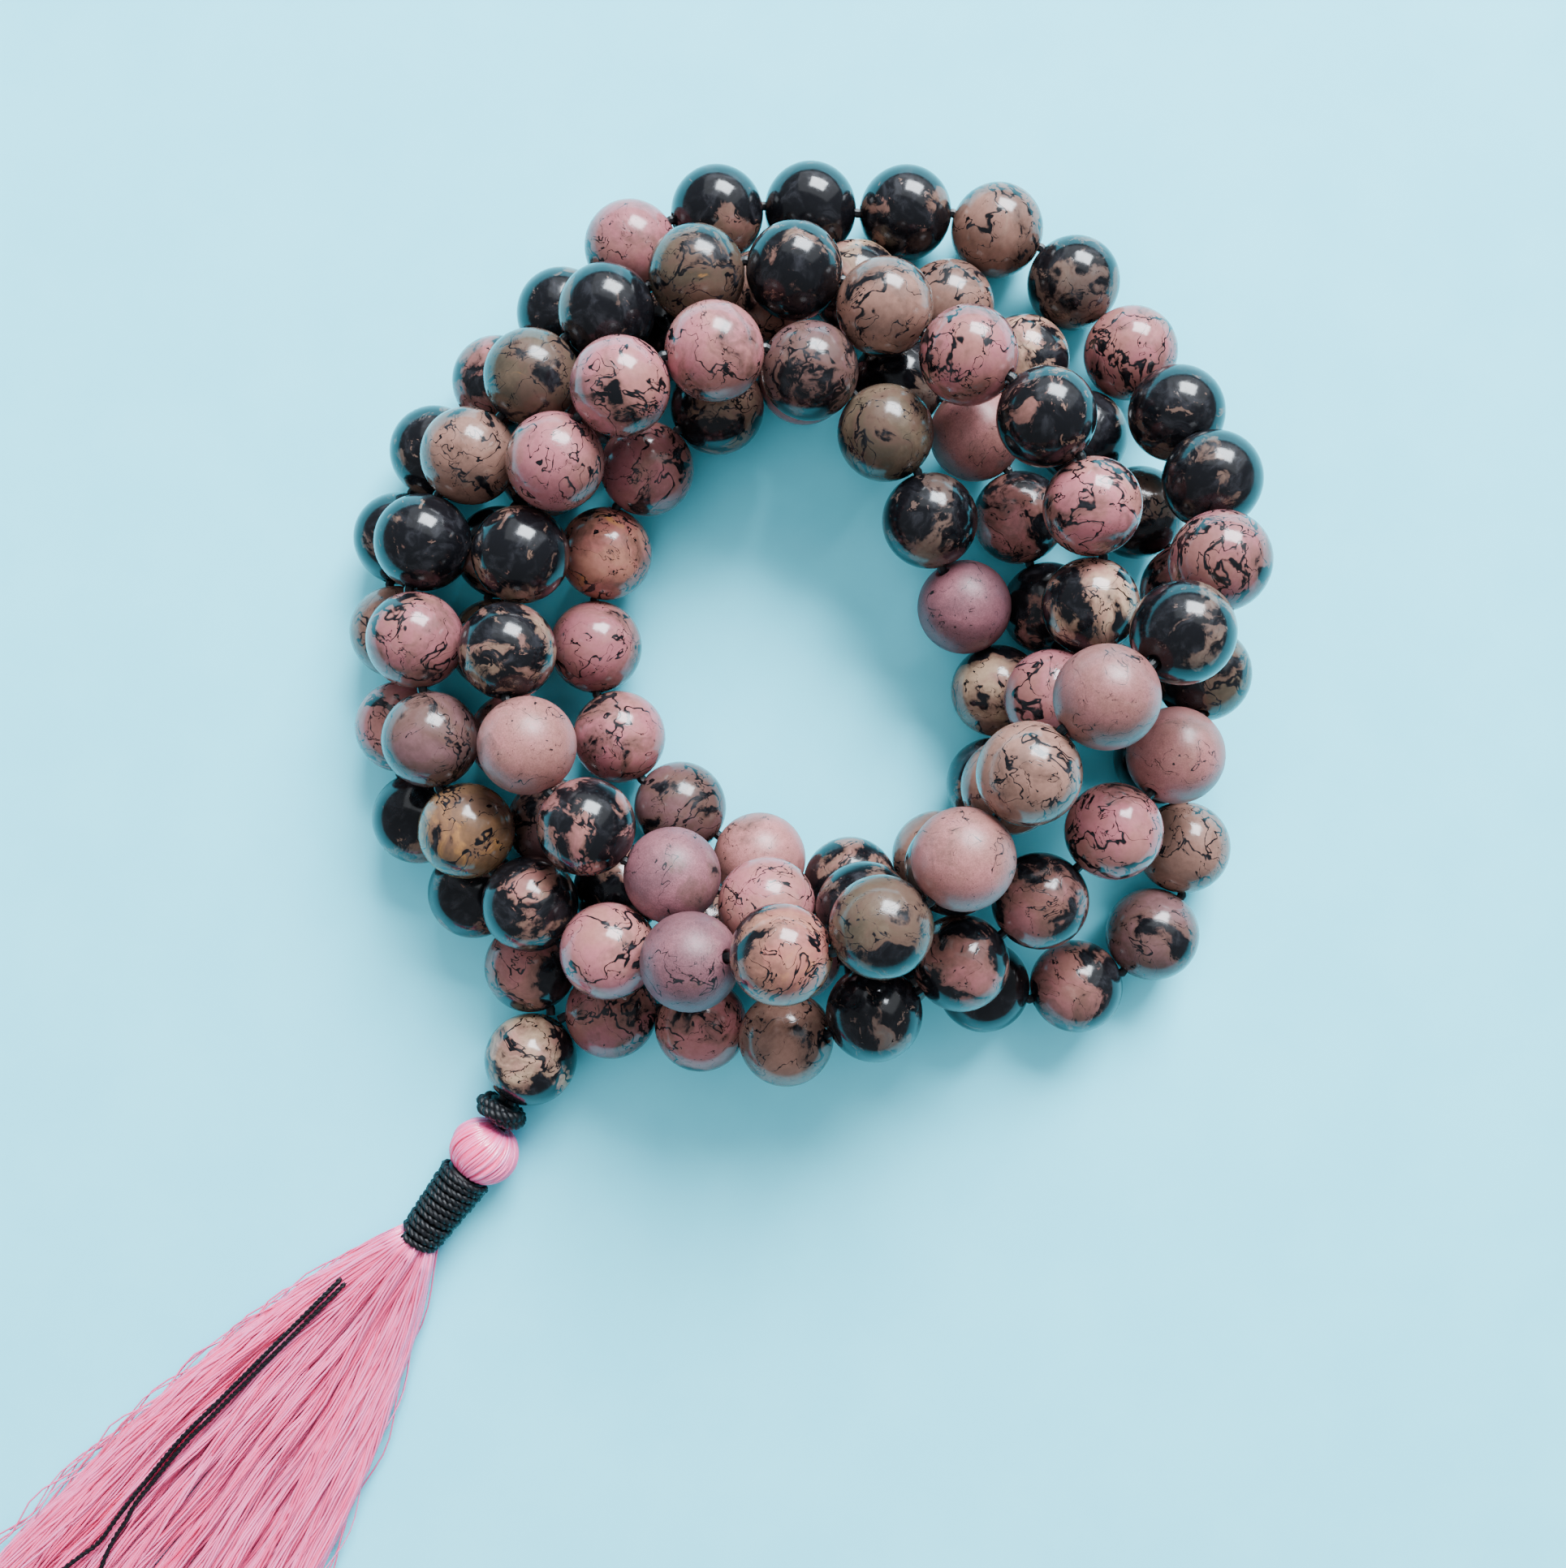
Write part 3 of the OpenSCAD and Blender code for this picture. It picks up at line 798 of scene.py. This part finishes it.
# %% Silk material
# srgb(240, 8, 100) is painted shade between the filaments, srgb(255, 146, 200) painted sheen on them
silk = fibre_material("silk_thread", srgb(240, 8, 100), srgb(255, 146, 200), 1.6, 900, 0.22, 0.00006, 0.06)
silk_bsdf = silk.node_tree.nodes["Principled BSDF"]
silk_bsdf.inputs["Sheen Tint"].default_value = srgb(255, 214, 228)
silk_bsdf.inputs["IOR"].default_value = 1.55
silk_bsdf.inputs["Specular IOR Level"].default_value = 1.0
print("silk material:", silk.name)

# %% [markdown]
# ## Tassel head
#
# The head is the thread bundle folded over its loop and tied in at the neck, so its threads run from the
# crown to the neck like lines of longitude, slightly askew. A ball of the same silk fills it below the
# threads, and stops short of the bore that the loop turns in. The ball takes a low shade of the silk, so it
# comes out darker pink: painted shade under the threads.

# %% Head
HEAD_THREADS = 88
HEAD_THREAD_R = 0.14 * MM
HEAD_SKEW = 0.5
head = MeshMaker()
lines = np.linspace(-0.97 * HEAD_HALF_L, NECK_AT, 26)
ball_r = (HEAD_R - HEAD_THREAD_R) * np.sqrt(np.maximum(0, 1 - (lines / (HEAD_HALF_L * 1.02)) ** 2))
for i in range(HEAD_THREADS):
    lean = HEAD_SKEW * rng.uniform(0.5, 1.3)
    start = 2 * math.pi * (i + rng.uniform(-0.35, 0.35)) / HEAD_THREADS
    spin = start + lean * (lines - lines[0]) / (lines[-1] - lines[0])
    r = ball_r + rng.uniform(-0.07, 0.06) * MM
    thin = HEAD_THREAD_R * np.clip(0.35 + ball_r / HEAD_R, 0.4, 1) * rng.uniform(0.85, 1.15)
    head.tube(on_tassel(lines, r * np.cos(spin), r * np.sin(spin)), thin, 6, TASSEL_DIR.cross(UP) + UP * 0.3,
              shade=rng.uniform(0, 1))
fill = [(max(0.55 * MM, r - 0.12 * MM), z) for r, z in zip(ball_r, lines)]
fill = fill + [(0.55 * MM, lines[-1]), (0.55 * MM, lines[0])]
points, faces, _ = turned(fill, TASSEL_DIR, np.array(head_at), 40)
# shade=0.1 makes the filling ball darker pink: painted shade under the threads
head.add(points, faces, run=points[:, 2], turn=points[:, 0] * 3000, shade=0.1)
head_piece = head.make("tassel_head_threads", silk)
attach(head_piece, "tassel")
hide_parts("tassel_head")
print("head has", HEAD_THREADS, "threads")

# %% [markdown]
# ## Loose threads
#
# Below the wrapping the threads leave as a tight round bundle, sink onto the table and fan out, denser in
# the middle. They could be hair particles, but tubes export as they look. Threads that were cut from one
# skein stay together in locks, so each lock shares one slow wave and its threads twist slowly round it. A
# few loose wisps stray at both edges. The bundle's half width and height follow the same curves as the
# CAD solid.

# %% Fan of the threads
SKIRT_L = 58 * MM
SKIRT_ROOT_R = WRAP_END_R - 0.15 * MM
SKIRT_SPREAD = 14.5 * MM
SKIRT_TIP_HALF_T = 1.5 * MM
SKIRT_FAN_L = 30 * MM
SKIRT_SINK_L = 12 * MM
SKIRT_REST = 0.15 * MM


def half_width(t):
    return SKIRT_ROOT_R + SKIRT_SPREAD * (1 - np.exp(-t / SKIRT_FAN_L))


def half_height(t):
    return SKIRT_ROOT_R + (SKIRT_TIP_HALF_T - SKIRT_ROOT_R) * t / SKIRT_L


def middle_height(t):
    left = np.maximum(0, 1 - t / SKIRT_SINK_L)
    return half_height(t) + SKIRT_REST + (head_at.z - SKIRT_ROOT_R - SKIRT_REST) * left * left


LOCKS = 84
THREADS_PER_LOCK = 7
THREAD_R = 0.12 * MM
LOCK_R = 0.36 * MM
LOCK_TWIST = 34 * MM
GROW_L = 8 * MM
WISPS = 16
along = np.linspace(0, 1, 32)
skirt = MeshMaker()
rng = random.Random(21)


def ripple(t, height, low, high):
    """A small wave along a thread, with its own length and start, that grows from nothing at the root."""
    wave_l = rng.uniform(low, high) * MM
    return height * MM * np.clip(t / GROW_L, 0, 1) * np.sin(2 * math.pi * t / wave_l + rng.uniform(0, 6.28))


def add_thread(t, side, rise, thick):
    """One thread of the skirt, kept above the table."""
    path = on_tassel(WRAP_END - 0.3 * MM + t, side, np.maximum(rise, thick + 0.05 * MM) - head_at.z)
    skirt.tube(path, thick * rng.uniform(0.85, 1.15), 4, UP, shade=rng.uniform(0, 1))


for lock in range(LOCKS):
    across = 0.97 * math.sin(math.pi * ((lock + 0.5) / LOCKS - 0.5))
    level = rng.uniform(-0.8, 0.95) * math.sqrt(1 - across * across)
    lock_t = along * SKIRT_L * rng.uniform(0.92, 0.995)
    wave = ripple(lock_t, 0.24, 16, 30)
    bob = ripple(lock_t, 0.15, 9, 16)
    hand = rng.choice((-1, 1))
    for thread in range(THREADS_PER_LOCK):
        t = lock_t * rng.uniform(0.95, 1.0)
        turn = 2 * math.pi * (hand * t / LOCK_TWIST + thread / THREADS_PER_LOCK)
        out = LOCK_R * rng.uniform(0.4, 1.1)
        side = across * (half_width(t) - LOCK_R) + wave + out * np.cos(turn) + ripple(t, 0.05, 4, 7)
        rise = middle_height(t) + level * (half_height(t) - LOCK_R) + bob + out * np.sin(turn)
        add_thread(t, side, rise, THREAD_R)
for wisp in range(WISPS):
    t = along * SKIRT_L * rng.uniform(0.6, 0.98)
    edge_side = rng.choice((-1, 1))
    drift = rng.uniform(0.2, 2.2) * MM * (t / SKIRT_L) ** 1.5
    side = edge_side * (rng.uniform(0.85, 1.0) * half_width(t) + drift) + ripple(t, 0.5, 9, 18)
    rise = middle_height(t) * rng.uniform(0.6, 1.1) + ripple(t, 0.3, 9, 18)
    add_thread(t, side, rise, 0.6 * THREAD_R)
skirt_piece = skirt.make("silk_threads", silk)
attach(skirt_piece, "tassel")
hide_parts("tassel_skirt")
print("threads:", LOCKS * THREADS_PER_LOCK + WISPS, "faces:", len(skirt_piece.data.polygons))

# %% [markdown]
# ## The cord's two free ends
#
# After the last knot the two ends of the cord run down inside the bundle, come out between the threads
# and lie on them, side by side and then apart. Their routes are the same points as in the CAD model, in
# metres, with a smooth curve through them, and each end is a thinner two-ply cord.

# %% Free cord ends
TAIL_R = 0.25 * MM
TAIL_GAP = 0.04 * MM
TAIL_SHARED = [
    (-40.5, -55.5, 3.5), (-42.5, -57.5, 3.8), (-44.5, -59.5, 3.8), (-47, -62, 3.8), (-49.5, -64.5, 3.7),
    (-52, -67, 3.7), (-54.5, -69.5, 3.6), (-57, -72.5, 3.5), (-59, -75, 3.5)]
TAIL_ENDS = {
    "left": (1, [(-60.5, -76.5, 3.4), (-62, -78.5, 3.4), (-64, -80, 3.4), (-66.5, -82, 3.3),
                 (-69, -84.5, 3.3), (-70.5, -87, 3.3)]),
    "right": (-1, [(-59.5, -76.5, 3.4), (-60.5, -78, 3.4), (-61.5, -80, 3.4), (-62.5, -83, 3.3),
                   (-63.5, -86, 3.3), (-64.5, -89, 3.3)]),
}
TAIL_ASIDE = Vector((-1, 1, 0)).normalized()
for name, (side, end) in TAIL_ENDS.items():
    aside = side * (TAIL_R + TAIL_GAP / 2) * TAIL_ASIDE
    route = [Vector(p) * MM + aside for p in TAIL_SHARED] + [Vector(p) * MM for p in end]
    path = smooth_path(route, 0.3 * MM)
    tail = MeshMaker()
    plied(tail, path, TAIL_R, 1.1 * MM, rng)
    length = float(np.linalg.norm(np.diff(path, axis=0), axis=1).sum())
    piece = tail.make("cord_end_" + name, waxed)
    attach(piece, "tassel")
    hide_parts("cord_tail_" + name)
    tuple(route[0])
    [tuple(p) for p in path]
    print(name, "cord end is", round(length / MM, 1), "mm long")

# %% [markdown]
# ## The table
#
# A plain pale surface under the strand, with the faint mottling of uncoated card.

# %% Pale table
card, t, shader = new_material("pale_card")
spot = t.node("ShaderNodeTexCoord").outputs["Object"]
fleece = t.noise(spot, 90, 6, 0.6)
card_colour = t.mix(t.step(fleece, 0.3, 0.7), srgb(106, 227, 250), srgb(112, 232, 254))
t.tree.links.new(card_colour, shader.inputs["Base Color"])
shader.inputs["Roughness"].default_value = 0.85
bpy.ops.mesh.primitive_plane_add(size=1.6)
table = bpy.context.object
table.name = "table"
table.data.materials.append(card)
table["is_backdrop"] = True
print("table:", table.name)

# %% [markdown]
# ## Sizes, then finish
#
# The visual model has to fill the same box as the CAD frame, so both boxes are written side by side.

# %% Write the sizes and finish
seen_box = [list(corner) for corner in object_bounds()]
print("CAD box", [[round(v / MM, 1) for v in c] for c in cad_box])
print("visual box", [[round(v / MM, 1) for v in c] for c in seen_box])
